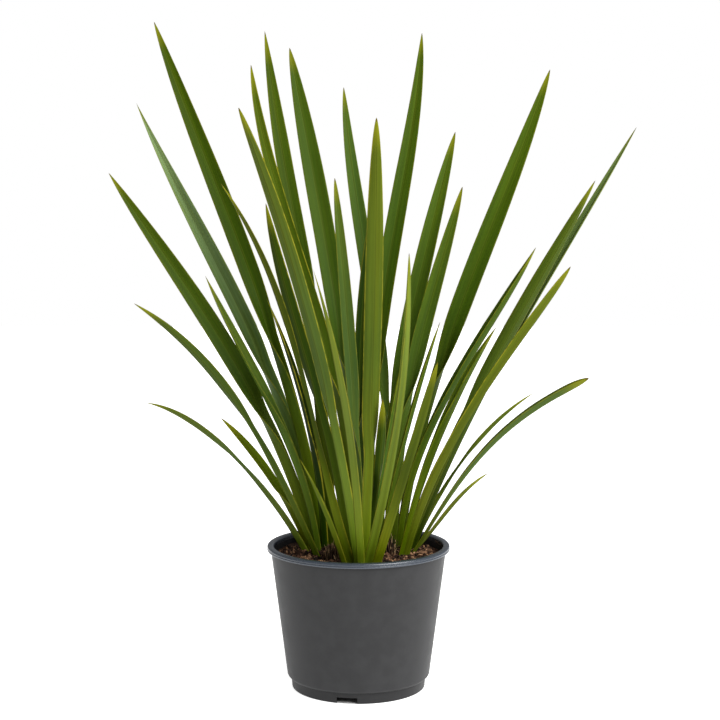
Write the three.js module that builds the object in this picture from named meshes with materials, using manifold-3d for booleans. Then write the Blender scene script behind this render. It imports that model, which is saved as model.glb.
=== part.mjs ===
// Potted dwarf New Zealand flax: sword-shaped leaves in a round nursery pot.
// Units are millimetres. The origin is the centre of the pot's resting plane,
// +Z is up and the plant's front faces -Y.

import * as THREE from 'three';
import { mergeVertices } from 'three/addons/utils/BufferGeometryUtils.js';
import Module from 'manifold-3d';

// Pot
const POT_HEIGHT = 176;
const POT_SIDES = 56;
const RIM_RADIUS = 112;
const MOUTH_RADIUS = 104;
const RIM_SKIRT = 6;
const RIM_GROOVE = 4;
const WALL = 2;
const BODY_TOP_RADIUS = 108.3;
const BODY_FOOT_RADIUS = 87.6;
const BODY_FOOT_Z = 15.5;
const STEP_Z = 12.8;
const STEP_RADIUS = 84.8;
const FOOT_TOP_RADIUS = 82.9;
const FOOT_RADIUS = 81.9;
const FOOT_WALL = 3;
const FLOOR_UNDER_Z = 12;
const FLOOR_Z = 14.5;
const CORNER_Z = 18;
const NOTCH_COUNT = 3;
const NOTCH_FIRST_ANGLE = -99.6;
const NOTCH_WIDTH = 25;
const NOTCH_HEIGHT = 7.2;
const DRAIN_COUNT = 8;
const DRAIN_RADIUS = 5;
const DRAIN_RING_RADIUS = 62;

// Potting mix
const MIX_GAP = 0.3;
const MIX_EDGE_Z = 163;
const MIX_MIDDLE_Z = 163.5;
const MIX_LUMP = 1.6;
const MIX_SIDES = 28;
const MIX_RINGS = [0.2, 0.4, 0.58, 0.74, 0.88, 1];

// Leaves
const ROOT_Z = 163;
const PLANTED = 12;
const POCKET_GAP = 0.4;
const POCKET_TOP = 16;
const FOLDED_ANGLE = 8;
const OPENING_SPAN = 0.26;
const TURNING_SPAN = 0.3;
const MIDRIB_THICKNESS = 2.2;
const MARGIN_THICKNESS = 0.9;
const LEAF_STATIONS = [0, 0.12, 0.25, 0.38, 0.5, 0.62, 0.74, 0.86, 0.95];

// The sides of a leaf's section that are split as the opposite face of the thin blade is
const MIRRORED_SIDES = [2, 5];

const TONES = {
  deep: 0x3c5a1c,
  mid: 0x4b6a23,
  fresh: 0x6d8432,
  pale: 0x87993c,
  olive: 0x5f6c14,
  sage: 0x7d9468,
};

// What most leaves share: how wide the folded foot is beside one half of the blade,
// where along the leaf the blade is widest, how bluntly it runs out to the tip, where
// the fold opens and the leaf turns, how far it opens and turns, and on which side
// the keel lies at the foot.
const USUAL_LEAF = {
  foot: 0.78,
  widest: 0.58,
  taper: 0.72,
  opensAt: 0.36,
  open: 72,
  turnsAt: 0.36,
  turn: 80,
  side: 0,
  tone: 'mid',
};

// Every leaf: the points that its middle line passes through, from the root on the
// mix up to the tip, and the full width of its open blade.
const LEAVES = [
  // Left fan
  { name: 'leaf_left_1', width: 13, widest: 0.6, foot: 0.85, open: 72, turn: -70, opensAt: 0.52,
    tone: 'mid',
    line: [[-51, -10], [-102, -36, 281], [-167, -69, 391], [-256, -110, 478]] },
  { name: 'leaf_left_2', width: 8, widest: 0.7, foot: 1.45, open: 72, turn: -70, opensAt: 0.555,
    taper: 0.85, tone: 'fresh',
    line: [[-64, 4], [-116, 19, 239], [-188, 38, 308], [-267, 60, 343]] },
  { name: 'leaf_left_3', width: 13, foot: 0.7, open: 60, turn: 50, tone: 'deep',
    line: [[-61, 13], [-104, -9, 257], [-164, -40, 337]] },
  { name: 'leaf_left_4', width: 20, taper: 0.85, widest: 0.62, foot: 0.6, open: 48, turn: 30,
    opensAt: 0.5, tone: 'fresh',
    line: [[-50, 20], [-83, 33, 287], [-136, 50, 395], [-192, 70, 502]] },
  { name: 'leaf_left_5', width: 25, taper: 0.78, foot: 0.865, opensAt: 0.28, widest: 0.5, tone: 'deep',
    line: [[-55, 27], [-119, 47, 331], [-213, 71, 485], [-316, 100, 631]] },
  { name: 'leaf_left_6', width: 13, taper: 1, foot: 1.1, open: 36, turn: 28, tone: 'olive',
    line: [[-42, 33], [-62, 15, 326], [-111, -10, 479]] },
  { name: 'leaf_left_7', width: 25.6, foot: 0.86, opensAt: 0.41, widest: 0.56, tone: 'deep',
    line: [[-46, 39], [-94, 53, 385], [-172, 70, 603], [-255, 90, 818]] },
  { name: 'leaf_left_8', width: 26, foot: 1.02, opensAt: 0.35, widest: 0.54, taper: 0.95, open: 55,
    tone: 'sage',
    line: [[-50, 47], [-105, 75, 359], [-194, 110, 542], [-287, 150, 722]] },
  // Front fan
  { name: 'leaf_front_1', width: 9.5, foot: 1, widest: 0.3, taper: 1.2, open: 14, turn: 10,
    tone: 'fresh',
    line: [[-16, -63], [-41, -92, 240], [-68, -130, 304]] },
  { name: 'leaf_front_2', width: 17, foot: 0.96, widest: 0.4, open: 34, turn: -70, opensAt: 0.55,
    turnsAt: 0.2,
    tone: 'fresh', line: [[-8, -58.5], [-48.5, -75, 320], [-88, -95, 473], [-155, -120, 614]] },
  { name: 'leaf_front_3', width: 17.4, taper: 0.6, foot: 0.98, widest: 0.6, opensAt: 0.3,
    turn: -70, turnsAt: 0.3, tone: 'fresh',
    line: [[0, -62], [-50, -114, 438], [-129, -190, 694]] },
  { name: 'leaf_front_4', width: 15, foot: 1, widest: 0.4, taper: 1, opensAt: 0.5, open: 40,
    turn: -40, tone: 'pale',
    line: [[3, -71], [-13, -138, 353], [-48, -230, 522]] },
  { name: 'leaf_front_5', width: 22, taper: 0.64, widest: 0.6, foot: 0.86, opensAt: 0.24,
    turn: -76, turnsAt: 0.24, tone: 'fresh',
    line: [[7, -55], [16, -99, 427], [20, -160, 685]] },
  { name: 'leaf_front_6', width: 17, foot: 1.1, widest: 0.25, taper: 0.65, open: 24, turn: 14,
    tone: 'pale',
    line: [[10, -66], [46, -122, 356], [55, -200, 538]] },
  { name: 'leaf_front_7', width: 9, foot: 1, open: 30, turn: 20, tone: 'mid',
    line: [[15, -42], [30, -59, 286], [50, -82, 405]] },
  { name: 'leaf_front_8', width: 13, foot: 0.9, widest: 0.7, opensAt: 0.5, turn: -60, tone: 'olive',
    line: [[11, -49], [18, -60, 235], [25, -75, 301], [28, -92, 366]] },
  { name: 'leaf_front_9', width: 17, foot: 1.05, widest: 0.7, opensAt: 0.55, open: 42, turn: -30,
    tone: 'mid',
    line: [[20, -73], [57, -132, 300], [86, -210, 421]] },
  // Back fan
  { name: 'leaf_back_1', width: 17, foot: 1.15, widest: 0.66, opensAt: 0.45, turn: -72, tone: 'deep',
    line: [[-11, -30], [-36, -38, 315], [-74, -48, 453], [-108, -60, 592]] },
  { name: 'leaf_back_2', width: 14.5, taper: 0.66, foot: 1.6, widest: 0.7, tone: 'mid',
    line: [[-10, -18], [-26, -19, 370], [-82, -19, 561], [-127, -20, 755]] },
  { name: 'leaf_back_3', width: 21, taper: 0.76, foot: 1.42, widest: 0.72, opensAt: 0.3, tone: 'mid',
    line: [[-34, 54], [-59, 77, 440], [-87, 106, 606], [-120, 140, 812]] },
  { name: 'leaf_back_4', width: 28.4, widest: 0.66, tone: 'mid',
    line: [[4, 44], [-16, 88, 378], [-50, 140, 589], [-91, 200, 797]] },
  { name: 'leaf_back_5', width: 17, widest: 0.5, taper: 0.62, opensAt: 0.25, tone: 'fresh',
    line: [[6, 10], [-9, 18, 396], [-29, 30, 623]] },
  { name: 'leaf_back_6', width: 16, foot: 1.7, tone: 'deep',
    line: [[7, 28], [2, 63, 390], [22, 110, 609]] },
  { name: 'leaf_back_7', width: 20.5, widest: 0.6, taper: 0.7, opensAt: 0.28, turnsAt: 0.28,
    tone: 'mid',
    line: [[37, 60], [32, 108, 365], [4, 165, 558], [-20, 230, 748]] },
  { name: 'leaf_back_8', width: 24.3, turnsAt: 0.24, opensAt: 0.22, foot: 0.75, widest: 0.5,
    tone: 'deep',
    line: [[17, 54], [24, 83, 420], [57, 118, 625], [82, 160, 812]] },
  { name: 'leaf_back_9', width: 23.5, widest: 0.62, opensAt: 0.3, tone: 'mid',
    line: [[24, 32], [45, 58, 341], [81, 91, 515], [124, 130, 684]] },
  { name: 'leaf_back_10', width: 20.8, taper: 0.66, foot: 1.05, widest: 0.54, opensAt: 0.42,
    tone: 'mid',
    line: [[42, 20], [58, 32, 335], [89, 45, 472], [129, 60, 613]] },
  // Right fan
  { name: 'leaf_right_1', width: 9.4, foot: 0.8, open: 26, turn: 20, tone: 'mid',
    line: [[27, 8], [57, -12, 311], [97, -40, 452]] },
  { name: 'leaf_right_2', width: 19, taper: 0.85, foot: 0.45, opensAt: 0.6, open: 34, turn: 24,
    tone: 'olive',
    line: [[52, -8], [78, -32, 265], [113, -62, 361], [159, -100, 451]] },
  { name: 'leaf_right_3', width: 19, taper: 0.62, foot: 0.85, widest: 0.75, open: 42, turn: -20,
    tone: 'olive',
    line: [[58, 0], [104, -49, 297], [166, -112, 415], [231, -190, 523]] },
  { name: 'leaf_right_4', width: 19, taper: 0.78, foot: 0.6, open: 28, turn: 20, widest: 0.66,
    tone: 'mid',
    line: [[51, 34], [84, 41, 300], [149, 50, 421], [221, 60, 538]] },
  { name: 'leaf_right_5', width: 20, foot: 0.9, widest: 0.55, turn: -66, tone: 'mid',
    line: [[58, 15], [121, -24, 323], [192, -75, 473], [264, -140, 617]] },
  { name: 'leaf_right_6', width: 16, foot: 1.1, widest: 0.6, open: 45, turn: 40, tone: 'sage',
    line: [[65, 21], [138, -10, 341], [226, -49, 511], [316, -100, 678]] },
  { name: 'leaf_right_7', width: 26.6, foot: 0.7, widest: 0.56, taper: 0.7, opensAt: 0.35,
    turnsAt: 0.35,
    tone: 'deep', line: [[52, 46], [97, 63, 373], [169, 85, 568], [242, 110, 761]] },
  { name: 'leaf_right_8', width: 14.4, taper: 0.6, foot: 0.42, widest: 0.88, open: 26, turn: 8,
    tone: 'mid',
    line: [[68, 8], [108, -6, 232], [153, -24, 296], [207, -45, 348], [270, -70, 388]] },
  { name: 'leaf_right_9', width: 6.4, opensAt: 0.56, foot: 1.4, widest: 0.62, open: 72, turn: -66,
    tone: 'mid',
    line: [[66, 27], [103, 29, 235], [153, 32, 304], [217, 36, 358]] },
  { name: 'leaf_right_10', width: 7.4, taper: 0.6, foot: 0.75, widest: 0.5, open: 18, turn: 8,
    tone: 'olive',
    line: [[73, 34], [100, 46, 193], [129, 62, 224], [165, 80, 250]] },
];

// Dried bases of old leaves, as ragged clumps of standing shards
const STUB_PLANTED = 8;
const STUB_SHARD_SIDES = 5;
const STUB_POCKET_RADIUS = 11.5;
const STUBS = [
  {
    name: 'dried_leaf_bases_left',
    at: [-31, -30],
    shards: [
      { from: [-5, 0], lean: [-7, 2], height: 22, radius: 3.6 },
      { from: [0, 3], lean: [-4, 3], height: 28, radius: 4 },
      { from: [4, -1], lean: [2, -2], height: 20, radius: 3.8 },
      { from: [7, 2], lean: [8, -1], height: 13, radius: 3.2 },
      { from: [1, -5], lean: [3, -7], height: 15, radius: 3.4 },
    ],
  },
  {
    name: 'dried_leaf_bases_right',
    at: [39, -8],
    shards: [
      { from: [-4, -1], lean: [-3, -2], height: 26, radius: 3.8 },
      { from: [0, 2], lean: [-2, 3], height: 32, radius: 4.2 },
      { from: [3, -1], lean: [4, -3], height: 24, radius: 3.8 },
      { from: [5, 2], lean: [5, 2], height: 15, radius: 3.2 },
      { from: [-1, -4], lean: [-4, -6], height: 14, radius: 3.2 },
    ],
  },
];

const wasm = await Module();
wasm.setup();

const VIEWER = new THREE.Vector3(0, -1, 0);
const UP = new THREE.Vector3(0, 0, 1);

function radians(degrees) {
  return THREE.MathUtils.degToRad(degrees);
}

// A smooth line through a few points that are evenly spaced in its parameter.
class LeafLine extends THREE.Curve {
  constructor(points) {
    super();
    this.points = points;
  }

  getPoint(t, target = new THREE.Vector3()) {
    const last = this.points.length - 1;
    target.set(0, 0, 0);
    this.points.forEach((point, i) => {
      let weight = 1;
      for (let j = 0; j <= last; j += 1) {
        weight *= j === i ? 1 : (t * last - j) / (i - j);
      }
      target.addScaledVector(point, weight);
    });
    return target;
  }
}

// Solids and meshes

function solidFrom(geometry) {
  const bare = geometry.index ? geometry.toNonIndexed() : geometry.clone();
  bare.deleteAttribute('normal');
  bare.deleteAttribute('uv');
  const merged = mergeVertices(bare, 1e-4);
  return new wasm.Manifold(new wasm.Mesh({
    numProp: 3,
    vertProperties: new Float32Array(merged.attributes.position.array),
    triVerts: new Uint32Array(merged.index.array),
  }));
}

function geometryFrom(solid) {
  const mesh = solid.getMesh();
  const geometry = new THREE.BufferGeometry();
  geometry.setAttribute('position', new THREE.BufferAttribute(new Float32Array(mesh.vertProperties), 3));
  geometry.setIndex(new THREE.BufferAttribute(new Uint32Array(mesh.triVerts), 1));
  return geometry;
}

// Rings of equal length joined into one closed skin. The last ring may be one point.
// Each square between two rings is split in two, on the mirrored sides along its other diagonal.
function skinFromRings(rings, mirrored = []) {
  const sides = rings[0].length;
  const positions = [];
  const index = [];
  rings.forEach((ring) => ring.forEach((point) => positions.push(point.x, point.y, point.z)));
  for (let side = 1; side < sides - 1; side += 1) {
    index.push(0, side + 1, side);
  }
  for (let r = 0; r < rings.length - 1; r += 1) {
    const low = r * sides;
    const high = low + sides;
    for (let side = 0; side < sides; side += 1) {
      const next = (side + 1) % sides;
      if (rings[r + 1].length === 1) {
        index.push(low + side, low + next, high);
      } else if (mirrored.includes(side)) {
        index.push(low + side, low + next, high + side);
        index.push(low + next, high + next, high + side);
      } else {
        index.push(low + side, low + next, high + next);
        index.push(low + side, high + next, high + side);
      }
    }
  }
  const top = rings[rings.length - 1];
  const first = (rings.length - 1) * sides;
  for (let side = 1; top.length > 1 && side < sides - 1; side += 1) {
    index.push(first, first + side, first + side + 1);
  }
  const geometry = new THREE.BufferGeometry();
  geometry.setAttribute('position', new THREE.Float32BufferAttribute(positions, 3));
  geometry.setIndex(index);
  return geometry;
}

function namedMesh(name, geometry, color, roughness) {
  const material = new THREE.MeshStandardMaterial({ color, roughness, metalness: 0 });
  const mesh = new THREE.Mesh(geometry, material);
  mesh.name = name;
  return mesh;
}

// Leaves

function leafLine(leaf) {
  return new LeafLine(leaf.line.map(([x, y, z = ROOT_Z]) => new THREE.Vector3(x, y, z)));
}

// Half of the blade's width at a fraction of the leaf's length.
function halfWidth(leaf, along) {
  const half = leaf.width / 2;
  if (along <= leaf.widest) {
    return half * (leaf.foot + (1 - leaf.foot) * THREE.MathUtils.smoothstep(along, 0, leaf.widest));
  }
  const left = (1 - along) / (1 - leaf.widest);
  return half * Math.sin((Math.PI / 2) * left ** leaf.taper);
}

// The directions across the leaf: from the keel to the open side, and at right angles to it.
function leafAxes(leaf, tangent, along) {
  const towardViewer = VIEWER.clone().addScaledVector(tangent, -VIEWER.dot(tangent)).normalize();
  const right = new THREE.Vector3().crossVectors(tangent, towardViewer);
  const lean = leaf.line[leaf.line.length - 1][0] - leaf.line[0][0];
  const keelSide = leaf.side || (lean < 0 ? 1 : -1);
  const span = TURNING_SPAN / 2;
  const turned = THREE.MathUtils.smoothstep(along, leaf.turnsAt - span, leaf.turnsAt + span);
  const turn = radians(leaf.turn) * turned;
  const mouth = right.clone().multiplyScalar(keelSide * Math.cos(turn));
  mouth.addScaledVector(towardViewer, Math.sin(turn));
  const across = new THREE.Vector3().crossVectors(tangent, mouth);
  return { right, towardViewer, mouth, across };
}

function foldAngle(leaf, along) {
  const span = OPENING_SPAN / 2;
  const opened = THREE.MathUtils.smoothstep(along, leaf.opensAt - span, leaf.opensAt + span);
  return radians(FOLDED_ANGLE + (leaf.open - FOLDED_ANGLE) * opened);
}

// Six corners of a folded blade, as [towards the mouth, across] pairs: keel, one margin's
// two edges, the valley, and the other margin's two edges.
function leafSection(half, fold) {
  const midrib = Math.min(MIDRIB_THICKNESS, half * 0.4);
  const margin = Math.min(MARGIN_THICKNESS, half * 0.22) / 2;
  const keel = Math.min(midrib / 2 / Math.sin(fold), midrib * 0.8);
  const valley = Math.min(midrib / 2 / Math.sin(fold), half * 0.55);
  const reach = [half * Math.cos(fold), half * Math.sin(fold)];
  const thick = [margin * Math.sin(fold), margin * Math.cos(fold)];
  return [
    [-keel, 0],
    [reach[0] - thick[0], -reach[1] - thick[1]],
    [reach[0] + thick[0], -reach[1] + thick[1]],
    [valley, 0],
    [reach[0] + thick[0], reach[1] - thick[1]],
    [reach[0] - thick[0], reach[1] + thick[1]],
  ];
}

// One ring of the leaf's skin, centred on its middle line as the viewer sees it.
function leafRing(leaf, centre, tangent, along) {
  const { right, towardViewer, mouth, across } = leafAxes(leaf, tangent, along);
  const corners = leafSection(halfWidth(leaf, along), foldAngle(leaf, along)).map(([deep, wide]) => (
    mouth.clone().multiplyScalar(deep).addScaledVector(across, wide)));
  [right, towardViewer].forEach((direction) => {
    const reaches = corners.map((corner) => corner.dot(direction));
    const middle = (Math.min(...reaches) + Math.max(...reaches)) / 2;
    corners.forEach((corner) => corner.addScaledVector(direction, -middle));
  });
  return corners.map((corner) => corner.add(centre));
}

function leafGeometry(leaf) {
  const line = leafLine(leaf);
  const start = line.getPoint(0);
  const startTangent = line.getTangent(0);
  const rings = [leafRing(leaf, start.clone().addScaledVector(startTangent, -PLANTED), startTangent, 0)];
  LEAF_STATIONS.forEach((along) => {
    rings.push(leafRing(leaf, line.getPoint(along), line.getTangent(along), along));
  });
  rings.push([line.getPoint(1)]);
  return skinFromRings(rings, MIRRORED_SIDES);
}

// The room that the leaf's foot takes in the potting mix.
function leafPocket(leaf) {
  const line = leafLine(leaf);
  const start = line.getPoint(0);
  const tangent = line.getTangent(0);
  const { mouth, across } = leafAxes(leaf, tangent, 0);
  const corners = leafRing(leaf, start, tangent, 0);
  const spread = (direction) => {
    const reaches = corners.map((corner) => corner.clone().sub(start).dot(direction));
    return [Math.min(...reaches) - POCKET_GAP, Math.max(...reaches) + POCKET_GAP];
  };
  const deep = spread(mouth);
  const wide = spread(across);
  const plan = [[deep[0], wide[0]], [deep[1], wide[0]], [deep[1], wide[1]], [deep[0], wide[1]]];
  const rings = [-PLANTED - POCKET_GAP, POCKET_TOP].map((height) => plan.map(([d, w]) => (
    start.clone().addScaledVector(tangent, height).addScaledVector(mouth, d).addScaledVector(across, w))));
  return solidFrom(skinFromRings(rings));
}

// Pot

function outerRadius(z) {
  const rise = (z - BODY_FOOT_Z) / (POT_HEIGHT - BODY_FOOT_Z);
  return BODY_FOOT_RADIUS + (BODY_TOP_RADIUS - BODY_FOOT_RADIUS) * rise;
}

function innerRadius(z) {
  const rise = (z - BODY_FOOT_Z) / (POT_HEIGHT - BODY_FOOT_Z);
  return BODY_FOOT_RADIUS - WALL + (MOUTH_RADIUS - BODY_FOOT_RADIUS + WALL) * rise;
}

function potProfile() {
  const skirtZ = POT_HEIGHT - RIM_SKIRT;
  const footInner = FOOT_RADIUS - FOOT_WALL;
  return [
    [0, FLOOR_UNDER_Z],
    [footInner - 1, FLOOR_UNDER_Z],
    [footInner, FLOOR_UNDER_Z - 1],
    [footInner, 0],
    [FOOT_RADIUS, 0],
    [FOOT_TOP_RADIUS, STEP_Z],
    [STEP_RADIUS, STEP_Z],
    [BODY_FOOT_RADIUS - 0.8, BODY_FOOT_Z - 1.2],
    [BODY_FOOT_RADIUS, BODY_FOOT_Z + 0.6],
    [outerRadius(skirtZ + RIM_GROOVE), skirtZ + RIM_GROOVE],
    [RIM_RADIUS - 1.6, skirtZ + RIM_GROOVE],
    [RIM_RADIUS - 1.6, skirtZ],
    [RIM_RADIUS, skirtZ],
    [RIM_RADIUS, POT_HEIGHT - 1.4],
    [RIM_RADIUS - 1.4, POT_HEIGHT],
    [MOUTH_RADIUS + 1.2, POT_HEIGHT],
    [innerRadius(POT_HEIGHT - 1.6), POT_HEIGHT - 1.6],
    [innerRadius(CORNER_Z), CORNER_Z],
    [innerRadius(CORNER_Z) - 3.5, FLOOR_Z],
    [0, FLOOR_Z],
  ].map(([radius, z]) => new THREE.Vector2(radius, z));
}

function potGeometry() {
  const body = new THREE.LatheGeometry(potProfile(), POT_SIDES);
  body.rotateX(Math.PI / 2);
  let pot = solidFrom(body);
  for (let i = 0; i < NOTCH_COUNT; i += 1) {
    const angle = radians(NOTCH_FIRST_ANGLE + (360 / NOTCH_COUNT) * i);
    const notch = new THREE.BoxGeometry(4 * FOOT_WALL + 6, NOTCH_WIDTH, 2 * NOTCH_HEIGHT);
    notch.translate(FOOT_RADIUS - 2, 0, 0);
    notch.rotateZ(angle);
    pot = pot.subtract(solidFrom(notch));
  }
  for (let i = 0; i < DRAIN_COUNT; i += 1) {
    const angle = (2 * Math.PI * (i + 0.5)) / DRAIN_COUNT;
    const drain = new THREE.CylinderGeometry(DRAIN_RADIUS, DRAIN_RADIUS, 10, 10);
    drain.rotateX(Math.PI / 2);
    drain.translate(DRAIN_RING_RADIUS * Math.cos(angle), DRAIN_RING_RADIUS * Math.sin(angle), FLOOR_Z);
    pot = pot.subtract(solidFrom(drain));
  }
  return geometryFrom(pot);
}

// Potting mix

function mixHeight(fraction, angle) {
  const level = MIX_MIDDLE_Z + (MIX_EDGE_Z - MIX_MIDDLE_Z) * fraction ** 2;
  const lumps = Math.sin(5 * angle + 9 * fraction) + Math.sin(3 * angle - 14 * fraction + 1);
  return level + (MIX_LUMP / 2) * lumps;
}

function mixGeometry() {
  const ring = (radius, heightAt) => Array.from({ length: MIX_SIDES }, (_, i) => {
    const angle = (2 * Math.PI * i) / MIX_SIDES;
    return new THREE.Vector3(radius * Math.cos(angle), radius * Math.sin(angle), heightAt(angle));
  });
  const floor = FLOOR_Z + MIX_GAP;
  const rings = [
    ring(innerRadius(CORNER_Z) - 4.2, () => floor),
    ring(innerRadius(CORNER_Z) - MIX_GAP, () => CORNER_Z + MIX_GAP),
  ];
  const top = innerRadius(MIX_EDGE_Z - MIX_LUMP) - MIX_GAP;
  [...MIX_RINGS].reverse().forEach((fraction) => {
    rings.push(ring(top * fraction, (angle) => mixHeight(fraction, angle)));
  });
  rings.push([new THREE.Vector3(0, 0, mixHeight(0, 0))]);
  return skinFromRings(rings);
}

// Dried leaf bases

function shardSolid(at, shard) {
  const [x, y] = [at[0] + shard.from[0], at[1] + shard.from[1]];
  const ring = (radius, shift, z, twist) => Array.from({ length: STUB_SHARD_SIDES }, (_, i) => {
    const angle = (2 * Math.PI * i) / STUB_SHARD_SIDES + twist;
    return new THREE.Vector3(
      x + shard.lean[0] * shift + radius * Math.cos(angle),
      y + shard.lean[1] * shift + 0.7 * radius * Math.sin(angle),
      z,
    );
  });
  const rings = [
    ring(shard.radius, 0, ROOT_Z - STUB_PLANTED, 0),
    ring(shard.radius, 0.2, ROOT_Z + 0.3 * shard.height, 0.3),
    ring(shard.radius * 0.6, 0.6, ROOT_Z + 0.75 * shard.height, 0.6),
    [new THREE.Vector3(x + shard.lean[0], y + shard.lean[1], ROOT_Z + shard.height)],
  ];
  return solidFrom(skinFromRings(rings));
}

function stubGeometry(stub) {
  const shards = stub.shards.map((shard) => shardSolid(stub.at, shard));
  return geometryFrom(shards.reduce((whole, shard) => whole.add(shard)));
}

function stubPocket(stub) {
  const depth = STUB_PLANTED + POCKET_GAP + POCKET_TOP;
  const hole = new THREE.CylinderGeometry(STUB_POCKET_RADIUS, STUB_POCKET_RADIUS, depth, 12);
  hole.rotateX(Math.PI / 2);
  hole.translate(stub.at[0] + 1, stub.at[1] - 1, ROOT_Z - STUB_PLANTED - POCKET_GAP + depth / 2);
  return solidFrom(hole);
}

// Assembly

const group = new THREE.Group();
group.add(namedMesh('pot', potGeometry(), 0x444446, 0.5));

const leaves = LEAVES.map((leaf) => ({ ...USUAL_LEAF, ...leaf }));
let mix = solidFrom(mixGeometry());
leaves.forEach((leaf) => {
  mix = mix.subtract(leafPocket(leaf));
});
STUBS.forEach((stub) => {
  mix = mix.subtract(stubPocket(stub));
});
group.add(namedMesh('potting_mix', geometryFrom(mix), 0x4a3122, 0.95));

STUBS.forEach((stub) => {
  group.add(namedMesh(stub.name, stubGeometry(stub), 0x5d4230, 0.9));
});
leaves.forEach((leaf) => {
  group.add(namedMesh(leaf.name, leafGeometry(leaf), TONES[leaf.tone], 0.55));
});

export default group;
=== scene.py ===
"""A potted dwarf New Zealand flax, dressed over its CAD frame.

Every leaf is lofted along the same middle line as its CAD solid, with a rounded
keel, curved halves and thin margins. The pot, the potting mix and the dried leaf
bases are finer meshes of the same sizes. Lengths are in millimetres, as in the CAD
source, and MM turns them into metres. Only the lamps and the bands of colour in the
materials are given in metres.
"""

import math
import random

import bpy
import bmesh
from mathutils import Matrix, Vector, noise


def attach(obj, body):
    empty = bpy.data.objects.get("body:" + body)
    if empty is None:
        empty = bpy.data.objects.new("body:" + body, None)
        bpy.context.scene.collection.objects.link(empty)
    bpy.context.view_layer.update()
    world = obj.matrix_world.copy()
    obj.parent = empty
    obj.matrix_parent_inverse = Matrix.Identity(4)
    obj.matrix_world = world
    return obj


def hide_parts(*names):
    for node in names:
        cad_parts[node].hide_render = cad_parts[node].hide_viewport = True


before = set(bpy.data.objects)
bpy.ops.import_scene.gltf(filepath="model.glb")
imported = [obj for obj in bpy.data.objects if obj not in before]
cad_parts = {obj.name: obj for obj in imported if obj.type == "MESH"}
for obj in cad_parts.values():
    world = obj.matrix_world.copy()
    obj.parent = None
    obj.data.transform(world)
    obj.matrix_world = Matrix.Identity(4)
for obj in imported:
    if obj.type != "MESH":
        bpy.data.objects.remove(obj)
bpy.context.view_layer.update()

MM = 0.001

# Camera, fitted to the photograph's 720 px frame
CAMERA_PLACE = (1.9, -1903.0, 584.0)
CAMERA_PITCH = 5.44
CAMERA_LENS = 78.65
SENSOR_WIDTH = 36.0
WORLD_LIGHT = 0.28

# Pot
POT_HEIGHT = 176.0
POT_SIDES = 192
RIM_RADIUS = 112.0
MOUTH_RADIUS = 104.0
RIM_SKIRT = 6.0
RIM_GROOVE = 4.0
WALL = 2.0
BODY_TOP_RADIUS = 108.3
BODY_FOOT_RADIUS = 87.6
BODY_FOOT_Z = 15.5
STEP_Z = 12.8
STEP_RADIUS = 84.8
FOOT_TOP_RADIUS = 82.9
FOOT_RADIUS = 81.9
FOOT_WALL = 3.0
FLOOR_UNDER_Z = 12.0
FLOOR_Z = 14.5
CORNER_Z = 18.0
NOTCH_COUNT = 3
NOTCH_FIRST_ANGLE = -99.6
NOTCH_WIDTH = 25.0
NOTCH_HEIGHT = 7.2
DRAIN_COUNT = 8
DRAIN_RADIUS = 5.0
DRAIN_RING_RADIUS = 62.0

# Potting mix
MIX_GAP = 0.3
MIX_EDGE_Z = 163.0
MIX_MIDDLE_Z = 163.5
MIX_LUMP = 1.6
MIX_SIDES = 180
MIX_RINGS = 64
CHIP_COUNT = 2600
CHIP_SMALLEST = 1.8
CHIP_SPREAD = 7.5
CHIP_RARITY = 2.6
CHIP_TILT = 0.6
CHIP_LIFT = 0.18
FIBRE_COUNT = 260
FIBRE_POINTS = 7

# Dried leaf bases
STRIP_SUNK = 5.0
STRIP_POINTS = 8
STRIP_CURL = 3.5

# Studio floor, and how it glows beyond the pot's foot
STUDIO_FLOOR_HALF = 6000.0
STUDIO_FLOOR_Z = -0.2
GLOW_FROM = 79.0
GLOW_FULL = 83.0
GLOW = 0.9

# Lamps, placed in metres
KEY_PLACE = (1.7, -1.5, 2.4)
KEY_AIM = (0.0, 0.0, 0.4)
KEY_STRENGTH = 3.0
KEY_SPREAD = 50.0
SOFTBOX_PLACE = (1.45, -1.25, 1.25)
SOFTBOX_AIM = (0.0, 0.0, 0.2)
SOFTBOX_SIZE = (1.8, 0.3)
SOFTBOX_POWER = 12.0

# Leaves
ROOT_Z = 163.0
PLANTED = 10.0
FOLDED_ANGLE = 8.0
OPENING_SPAN = 0.26
TURNING_SPAN = 0.3
MIDRIB_THICKNESS = 2.2
MARGIN_THICKNESS = 0.9
LEAF_STATIONS = 84
HALF_POINTS = 7

# What most leaves share: how wide the folded foot is beside one half of the blade,
# where along the leaf the blade is widest, how bluntly it runs out to the tip, where
# the fold opens and the leaf turns, and how far it opens and turns. The rest is
# colour, with painted light and shade in it: the tone; its lightness, the leaf's own
# tone together with painted shade; the lightness of the foot, painted light above 1
# and painted shade below 1; how warm the green is; how blue it is, its own blue-grey
# together with a painted sheen; how much lighter and bluer the left half is than the
# right (negative for the right half), a painted sheen on that half; how strong the
# margins and the midrib are, the midrib's dark line also painting shade into the
# crease of the fold; and how long the yellow end and its brown point are.
USUAL_LEAF = {
    "foot": 0.78,
    "widest": 0.58,
    "taper": 0.72,
    "opens_at": 0.36,
    "open": 72,
    "turns_at": 0.36,
    "turn": 80,
    "tone": "mid",
    "light": 1.0,
    "painted_foot_light": 1.0,
    "warm": 1.0,
    "blue": 1.0,
    "halves": 0.2,
    "margin": 0.3,
    "midrib": 0.3,
    "tip": 14,
    "brown": 0.6,
}

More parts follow.
